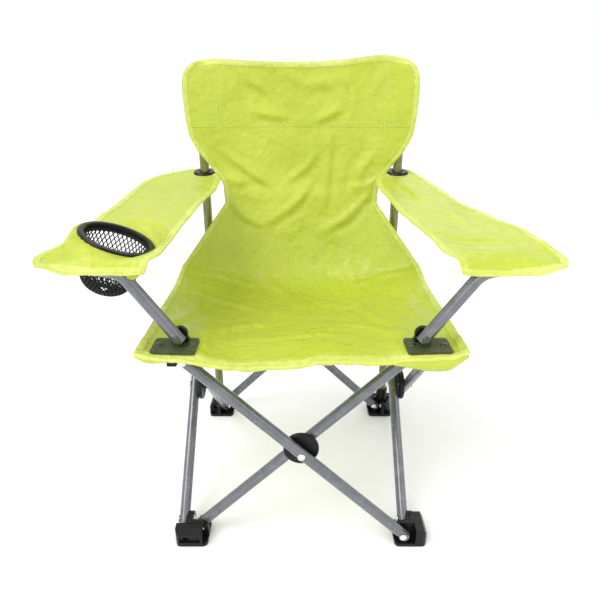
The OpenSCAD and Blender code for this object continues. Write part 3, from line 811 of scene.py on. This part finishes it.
# top hem
top_a = [surface(END, u / 70) for u in range(-69, 70)]
top_b = [surface(END - 2.0, u / 70) for u in range(-69, 70)]
for i, (name, run) in enumerate(pair_runs(zip(top_a, top_b), lambda q: part_of(q[1][0]), share=True)):
    trims[name].append(band(f"top_hem_{name}_{i}", [a for a, _ in run], [b for _, b in run],
                            0.5, 0.8, wave=0.4))
add_trim("top_stitch", by_part([surface(END - 1.6, u / 70) for u in range(-68, 69)]),
         lambda n, run: stitches(n, run, lift=1.3))

# backs of the sleeves: a layer that passes behind each post
for side in (-1, 1):
    tag = "left" if side < 0 else "right"
    verts, puv = [], []
    nz, nx = 34, 21
    for i in range(nz):
        s = i / (nz - 1)
        for j in range(nx):
            t = j / (nx - 1)
            z0 = 440 + 5 * math.sin(3.1 * t)
            z = lerp(z0, 500, min(1.0, s * 2))
            w_edge = through(BACK_W, z)
            x = lerp(SLEEVE_X, w_edge, t)
            if s > 0.5:
                zz = lerp(500, 551, (s - 0.5) * 2)
                w_edge = through(BACK_W, zz)
                x = lerp(SLEEVE_X, w_edge, t)
                z = lerp(500, through(TOP_Z, side * x), (zz - 500) / 51)
            behind = 17.8 * (1 - abs(2 * t - 1) ** 3.5)
            close = bump((553 - z) / 9)
            y = BACK_Y + 0.9 + 7.0 * (1 - close) + behind * lerp(0.12, 1.0, close)
            y += 1.2 * ripple(x, z, s, 20, side)
            verts.append(Vector((side * x, y, z)))
            puv.append((x * MM, z * MM))
    faces = grid_faces(nz, nx)
    if side < 0:
        faces = [tuple(reversed(f)) for f in faces]
    obj = mesh(f"sleeve_back_{tag}", verts, faces, uvs=puv)
    thicken(obj, 0.9)
    apply_modifiers(obj)
    obj.data.materials.append(LIME)
    trims[f"sleeve_{tag}"].append(obj)

# second layer of the front hem, which droops below the right corner
for side, start, drop in ((1, 92, 15.0), (-1, 134, 6.0)):
    verts, puv = [], []
    nx, nz = 26, 7
    for i in range(nx):
        s = i / (nx - 1)
        x = lerp(start, 167, s)
        down = drop * math.sin(math.pi * min(1, s * 0.62 + 0.02)) * (1 - 0.45 * bump((s - 0.75) / 0.25))
        for j in range(nz):
            t = j / (nz - 1)
            y = -169.5 - 1.0 * math.sin(math.pi * t) + 5 * t * t * s
            z = through(HEM_EDGE, side * x) - 1.6 - down * t + 0.5 * ripple(x, t * 9, 0, 9, 2)
            verts.append(Vector((side * x, y, z)))
            puv.append((x * MM, t * 0.012))
    faces = grid_faces(nx, nz)
    obj = mesh(f"hem_flap_{'left' if side < 0 else 'right'}", verts, faces, uvs=puv)
    thicken(obj, 0.9)
    apply_modifiers(obj)
    obj.data.materials.append(LIME)
    trims["hem"].append(obj)

bpy.data.objects.remove(sheet)


def join(obj, others):
    """Merges trims into their piece, keeping each one's material."""
    bpy.context.view_layer.update()
    with bpy.context.temp_override(active_object=obj, object=obj, selected_objects=[obj] + others,
                                   selected_editable_objects=[obj] + others):
        bpy.ops.object.join()
    return obj


trim_objs = {}
for key, extra in trims.items():
    extra = [o for o in extra if o is not None]
    if extra:
        first = extra[0]
        first.name = f"{pieces[key].name}_sewing"
        if len(extra) > 1:
            join(first, extra[1:])
        trim_objs[key] = first

for key, obj in pieces.items():
    body = RIDES[key]
    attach(obj, body)
    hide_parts(*STANDS[key])
    sew = trim_objs.get(key)
    if sew is not None:
        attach(sew, body)
    for o in (obj, sew):
        if o is None:
            continue
        if key in ("hem", "front", "rear"):
            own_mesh(o)
        elif key == "back":
            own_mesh(o)


# ---------- Armrests ----------
LEFT_OUT = [(160, -158), (150, -174), (118, -202), (84, -216), (10, -225), (-48, -233), (-76, -231),
            (-98, -236), (-116, -246), (-138, -262)]
LEFT_IN = [(160, -119.5), (127, -119.5), (118, -113), (72, -113.5), (15, -124), (-138, -140)]
RIGHT_OUT = [(160, 142), (156, 156), (132, 167), (74, 181), (15, 198), (-29, 218), (-71, 239), (-138, 260)]
RIGHT_IN = [(160, 119.5), (127, 119.5), (118, 107), (80, 104), (30, 111), (-16, 117), (-91, 136), (-133, 142)]
FRONT_CORNERS = {-1: ((-256, -153), (-151, -159)), 1: ((253, -155), (155, -160))}
ARM_TIP_V = 0.88


def armrest_surface(side):
    out_pts, in_pts = (LEFT_OUT, LEFT_IN) if side < 0 else (RIGHT_OUT, RIGHT_IN)
    out_asc, in_asc = sorted(out_pts), sorted(in_pts)
    y_out, y_in = out_asc[0][0], in_asc[0][0]
    tip_out, tip_in = FRONT_CORNERS[side]

    def at(v, u):
        """v from 0 at the rear to 1 at the front, u from 0 outside to 1 inside."""
        if v < ARM_TIP_V:
            s = v / ARM_TIP_V
            yo, yi = lerp(160, y_out, s), lerp(160, y_in, s)
            xo, xi = through(out_asc, yo), through(in_asc, yi)
        else:
            s = (v - ARM_TIP_V) / (1 - ARM_TIP_V)
            q = math.sin(s * math.pi / 2)
            yo, yi = lerp(y_out, tip_out[1], s), lerp(y_in, tip_in[1], s)
            xo = lerp(through(out_asc, y_out), tip_out[0], 1 - math.cos(s * math.pi / 2))
            xi = lerp(through(in_asc, y_in), tip_in[0], q)
        x = lerp(xo, xi, u)
        y = lerp(yo, yi, u)
        y -= 4.0 * math.sin(math.pi * u) * bump((v - 0.8) / 0.2)
        round_rear = bump(v / 0.1)
        y -= (1 - round_rear) * 4.0 * (2 * u - 1) ** 2
        return x, y
    return at


def ring_height(x):
    """Height of the cup ring's leaning plane."""
    return ARM_Z + (CUP[1] - CORNER) * math.tan(ARM_SLOPE) - (x - CUP[0]) * math.tan(CUP_LEAN)


def armrest_height(side, x, y):
    """Height of the armrest's cloth: it slopes, sags, dips to the cup ring and droops at its front."""
    plane = ARM_Z + (y - CORNER) * math.tan(ARM_SLOPE)
    mid_x = side * lerp(137, 205, (150 - y) / 300)
    along = min(1, max(0, (150 - y) / 300))
    h = -3.0 * math.sin(math.pi * along) * max(0, 1 - ((x - mid_x) / 60) ** 2)
    h += 1.3 * ripple(x, y, 0, 48, 2.0 + side) + 0.8 * ripple(x, y, 0, 19, 6.0 + side)
    h += 0.35 * ripple(x, y, 0, 8, 4.0 + side)
    h += sum(crease(x, y, f, d * 1.2, w) for f, d, w in ARM_FOLDS[side])
    held = bump((math.hypot(x - side * CORNER, y - CORNER) - 14) / 18)
    droop = 9.5 * bump((-y - 147) / 11) * (1 - bump((abs(x) - 222) / 34))
    tip = 4.0 * bump((-y - 110) / 40) * bump((abs(x) - 205) / 50)
    z = plane + 1.0 + h * held - tip - droop
    if side < 0:
        gap = math.hypot((x - CUP[0]) / math.cos(CUP_LEAN), y - CUP[1])
        near = 1 - bump((gap - CUP_R - 1) / 17)
        z = lerp(z, ring_height(x) - 0.6 - 2.5 * bump((gap - CUP_R) / 12), near)
    return z


ARM_FOLDS = {
    -1: [([(-128, 96), (-150, 60), (-158, 10)], 1.8, 6), ([(-206, 60), (-190, 20), (-194, -30)], 1.6, 7),
         ([(-134, -10), (-150, -40), (-162, -52)], 1.6, 6),
         ([(-150, -122), (-176, -140), (-214, -142)], 2.0, 6),
         ([(-252, -130), (-232, -126), (-216, -132)], 1.6, 6),
         ([(-150, 120), (-166, 104), (-190, 96)], 1.5, 6)],
    1: [([(128, 96), (146, 66), (150, 20)], 1.8, 6), ([(186, 30), (176, -10), (186, -60)], 1.8, 7),
        ([(140, -70), (170, -92), (214, -100)], 2.0, 7), ([(160, -126), (190, -138), (226, -132)], 2.0, 6),
        ([(232, -70), (214, -56), (196, -52)], 1.6, 6), ([(146, 118), (158, 104), (166, 92)], 1.4, 6)]}


def underfold(side):
    """Loose fold of cloth under the armrest, beside the arm post's bent end."""
    tag = "left" if side < 0 else "right"
    verts, nx, nz = [], 14, 8
    for i in range(nx):
        s = i / (nx - 1)
        for j in range(nz):
            t = j / (nz - 1)
            x = lerp(156, 178, s)
            drop = 12.0 * math.sin(math.pi * lerp(0.12, 0.92, s)) * t
            y = -154.5 + 5.0 * math.sin(math.pi * t) + 4 * s
            verts.append(Vector((side * x, y, armrest_height(side, side * x, y) - 1.6 - drop)))
    obj = mesh(f"armrest_underfold_{tag}", verts, grid_faces(nx, nz))
    thicken(obj, 0.9)
    apply_modifiers(obj)
    obj.data.materials.append(LIME)
    return obj


def follow(obj, body):
    """Rides on a body, but the left armrest's front, in which the cup ring is set, rides on none: only its
    transform is baked into its mesh.
    """
    if body == "armrest_left_front":
        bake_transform(obj)
    else:
        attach(obj, body)


def build_armrest(side):
    at = armrest_surface(side)
    nv, nu = 86, 30
    verts, puv = [], []
    for i in range(nv):
        v = i / (nv - 1)
        for j in range(nu):
            u = j / (nu - 1)
            x, y = at(v, u)
            verts.append(Vector((x, y, armrest_height(side, x, y))))
            puv.append((x * MM, y * MM))
    faces = grid_faces(nv, nu)
    if side < 0:
        faces = [tuple(reversed(f)) for f in faces]
    obj = mesh("armrest_whole", verts, faces, uvs=puv)
    cut_plane(obj, (0, ARM_FOLD_Y, 0), (0, 1, 0))
    # openings for the cup ring and for the post
    bm = bmesh.new()
    bm.from_mesh(obj.data)
    holes = [(side * CORNER, CORNER, 9.5, 1.0)]
    if side < 0:
        holes.append((CUP[0], CUP[1], CUP_R - 2, math.cos(CUP_LEAN)))
    for hx, hy, hr, narrow in holes:
        doomed = [f for f in bm.faces
                  if math.hypot((f.calc_center_median().x / MM - hx) / narrow,
                                f.calc_center_median().y / MM - hy) < hr]
        bmesh.ops.delete(bm, geom=doomed, context="FACES")
        for v in bm.verts:
            if v.is_boundary:
                dx, dy = (v.co.x / MM - hx) / narrow, v.co.y / MM - hy
                d = math.hypot(dx, dy)
                if d < hr + 7:
                    x, y = hx + dx / d * hr * narrow, hy + dy / d * hr
                    v.co = Vector((x, y, armrest_height(side, x, y))) * MM
    bm.to_mesh(obj.data)
    bm.free()
    obj.data.polygons.foreach_set("use_smooth", [True] * len(obj.data.polygons))
    obj.data.update()
    tag = "left" if side < 0 else "right"
    result = {}
    for part in ("front", "rear"):
        result[part] = pick_faces(f"armrest_cloth_{tag}_{part}", obj.data,
                                  lambda c, front=part == "front": (c.y < ARM_FOLD_Y) == front, 0.8)
    bpy.data.objects.remove(obj)

    # hem and stitches round the outline
    def spot(v, u):
        x, y = at(v, u)
        return Vector((x, y, armrest_height(side, x, y)))

    outline = [(k / 90, 0.0) for k in range(91)] + [(1.0, k / 30) for k in range(1, 31)]
    outline += [(1 - k / 90, 1.0) for k in range(1, 91)] + [(0.0, 1 - k / 12) for k in range(1, 12)]
    edge = [spot(v, u) for v, u in outline]
    n = len(edge)
    inward = []
    for i, p in enumerate(edge):
        d = edge[(i + 1) % n] - edge[i - 1]
        q = Vector((-d.y, d.x, 0)).normalized() * (1 if side < 0 else -1)
        inward.append(q)
    soft = [sum((inward[(i + k) % n] for k in range(-3, 4)), Vector()).normalized() for i in range(n)]

    def offset_ring(mm, lift):
        ring = []
        for p, q in zip(edge, soft):
            a = p + q * mm
            ring.append((Vector((a.x, a.y, armrest_height(side, a.x, a.y) + lift)), Vector((0, 0, 1))))
        return ring

    sewing = {"front": [], "rear": []}
    outer, inner = offset_ring(0.0, 0.0), offset_ring(7.0, 0.0)
    outer.append(outer[0])
    inner.append(inner[0])
    stitch = offset_ring(5.6, 0.0)
    stitch.append(stitch[0])
    runs = pair_runs(range(len(outer)), lambda k: "front" if inner[k][0].y < ARM_FOLD_Y else "rear",
                     share=True)
    for i, (name, ks) in enumerate(runs):
        if len(ks) > 2:
            sewing[name].append(band(f"armhem_{tag}_{i}", [outer[k] for k in ks], [inner[k] for k in ks],
                                     0.85, 0.7, wave=0.4))
            s = stitches(f"armstitch_{tag}_{i}", [stitch[k] for k in ks], lift=1.6)
            if s is not None:
                sewing[name].append(s)
    # underside hem roll, so the edge reads as folded cloth
    for i, (name, ks) in enumerate(runs):
        if len(ks) > 3:
            t = tube(f"armroll_{tag}_{i}", [outer[k][0] + Vector((0, 0, 0.1)) for k in ks], 1.45, 8)
            # The armrest edge roll takes the hem nylon with its painted highlight.
            t.data.materials.append(HEM_NYLON_PAINTED_GLINT)
            sewing[name].append(t)
    if side < 0:
        sewing["front"].append(underfold(side))
    for part, piece in result.items():
        body = f"armrest_{tag}_{part}"
        follow(piece, body)
        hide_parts(body)
        group = sewing[part]
        first = group[0]
        first.name = f"armrest_sewing_{tag}_{part}"
        if len(group) > 1:
            join(first, group[1:])
        follow(first, body)
        result[part] = (piece, first)
    return result


arm_left = build_armrest(-1)
arm_right = build_armrest(1)


# ---------- Cup holder net ----------
CUP_BODY = "cup_holder"


def cup_place(x, y, z):
    """Point in the cup holder's own leaning frame, turned into the model's frame."""
    c, n = math.cos(CUP_LEAN), math.sin(CUP_LEAN)
    top = ARM_Z + (CUP[1] - CORNER) * math.tan(ARM_SLOPE)
    return Vector((CUP[0] + x * c + z * n, CUP[1] + y, top - x * n + z * c))


def cup_net():
    ring = 40
    profile = [(32.2, -2.6), (32.3, -7), (32.2, -11.5), (31.9, -16), (31.6, -20.5), (31.2, -25),
               (30.7, -29.5), (30.2, -34), (29.5, -38.5), (28.6, -43), (27.2, -47.5), (25.2, -51.5),
               (22.4, -55), (18.8, -57.4), (14.2, -58.8), (9, -59.3), (4, -59.4)]
    verts = []
    for i, (r, z) in enumerate(profile):
        for k in range(ring):
            a = 2 * math.pi * (k + 0.5 * (i % 2)) / ring
            wob = 1 + 0.012 * math.sin(3 * a + z * 0.06)
            sway = z + 0.7 * math.sin(2 * a + 1)
            verts.append(cup_place(math.cos(a) * r * wob, math.sin(a) * r * wob, sway))
    edges = []
    for i in range(len(profile) - 1):
        for k in range(ring):
            other = (k + 1) % ring if i % 2 else (k - 1) % ring
            edges += [(i * ring + k, (i + 1) * ring + k), (i * ring + k, (i + 1) * ring + other)]
    for row in (0, len(profile) - 1):
        edges += [(row * ring + k, row * ring + (k + 1) % ring) for k in range(ring)]
    out, fs = [], []
    for a, b in edges:
        p, q = verts[a], verts[b]
        d = (q - p).normalized()
        s = d.orthogonal().normalized()
        o = d.cross(s)
        base = len(out)
        for c in (p, q):
            for k in range(5):
                w = 2 * math.pi * k / 5
                out.append(c + (s * math.cos(w) + o * math.sin(w)) * 0.66)
        fs += [(base + k, base + (k + 1) % 5, base + 5 + (k + 1) % 5, base + 5 + k) for k in range(5)]
    obj = mesh("cup_net", out, fs)
    obj.data.materials.append(NET)
    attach(obj, CUP_BODY)
    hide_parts("cup_basket")
    # woven tape that holds the net under the ring
    turns = [2 * math.pi * k / 64 for k in range(64)]
    loop = [cup_place(math.cos(a) * 32.6, math.sin(a) * 32.6, -4.2) for a in turns]
    tape = tube("cup_net_tape", loop, 1.2, 8, closed=True)
    tape.data.materials.append(NET)
    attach(tape, CUP_BODY)
    return obj


cup_net()


def outline_area(side, front):
    """Flat area of one half of an armrest, in square metres, without its holes."""
    at = armrest_surface(side)
    steps = [k / 200 for k in range(201)]
    edge = [at(v, 0.0) for v in steps] + [at(v, 1.0) for v in reversed(steps)]
    kept = [p for p in edge if (p[1] < ARM_FOLD_Y) == front]
    area = 0.5 * abs(sum(a[0] * b[1] - b[0] * a[1] for a, b in zip(kept, kept[1:] + kept[:1])))
    holes = math.pi * ((CUP_R - 2) ** 2 if side < 0 and front else 0)
    return (area - holes) * MM * MM


for side, halves in ((-1, arm_left), (1, arm_right)):
    tag = "left" if side < 0 else "right"
    for part, width, length in (("front", 0.132, 0.186), ("rear", 0.112, 0.140)):
        outline_area(side, part == "front")

# ---------- Stage ----------
floor_data = bpy.data.meshes.new("floor")
floor_data.from_pydata([(-6, -6, 0), (6, -6, 0), (6, 6, 0), (-6, 6, 0)], [], [(0, 1, 2, 3)])
floor = bpy.data.objects.new("floor", floor_data)
bpy.context.scene.collection.objects.link(floor)
floor.location.z = -0.0002
pale = material("pale_floor", (0.90, 0.90, 0.90), 0.8)
fl = Nodes(pale)
fl.link(fl.ramp(fl.noise(fl.add("ShaderNodeTexCoord").outputs["Object"], 3.0),
                [(0.3, (0.895, 0.895, 0.895)), (0.7, (0.905, 0.905, 0.905))]), fl.shader.inputs["Base Color"])
floor.data.materials.append(pale)

world = bpy.data.worlds.new("studio")
bpy.context.scene.world = world
world.use_nodes = True
world.node_tree.nodes["Background"].inputs["Color"].default_value = (1.0, 1.0, 1.0, 1)
world.node_tree.nodes["Background"].inputs["Strength"].default_value = 1.0


def area_light(name, place, target, size, power):
    data = bpy.data.lights.new(name, "AREA")
    data.shape = "RECTANGLE"
    data.size, data.size_y = size
    data.energy = power
    obj = bpy.data.objects.new(name, data)
    bpy.context.scene.collection.objects.link(obj)
    obj.location = place
    obj.rotation_euler = (Vector(target) - Vector(place)).to_track_quat("-Z", "Y").to_euler()
    return obj


sun_data = bpy.data.lights.new("key", "SUN")
sun_data.energy = 1.5
sun_data.angle = math.radians(38)
sun = bpy.data.objects.new("key", sun_data)
bpy.context.scene.collection.objects.link(sun)
sun.rotation_euler = Vector((0.62, 0.42, -1.0)).to_track_quat("-Z", "Y").to_euler()
area_light("front", (-0.4, -1.5, 0.9), (0, 0, 0.25), (1.2, 0.8), 5)
area_light("fill", (1.4, -0.8, 1.1), (0, 0, 0.3), (1.0, 1.4), 3)
area_light("rim", (0.3, 1.5, 1.6), (0, 0, 0.35), (1.4, 0.8), 5)

camera_data = bpy.data.cameras.new("camera")
camera_data.lens = 31.63
camera_data.sensor_width = 36
camera = bpy.data.objects.new("camera", camera_data)
bpy.context.scene.collection.objects.link(camera)
camera.location = (-0.0014, -0.631, 0.5325)
camera.rotation_euler = (math.radians(66.92), 0, 0)
bpy.context.scene.camera = camera
bpy.context.scene.view_settings.view_transform = "Standard"
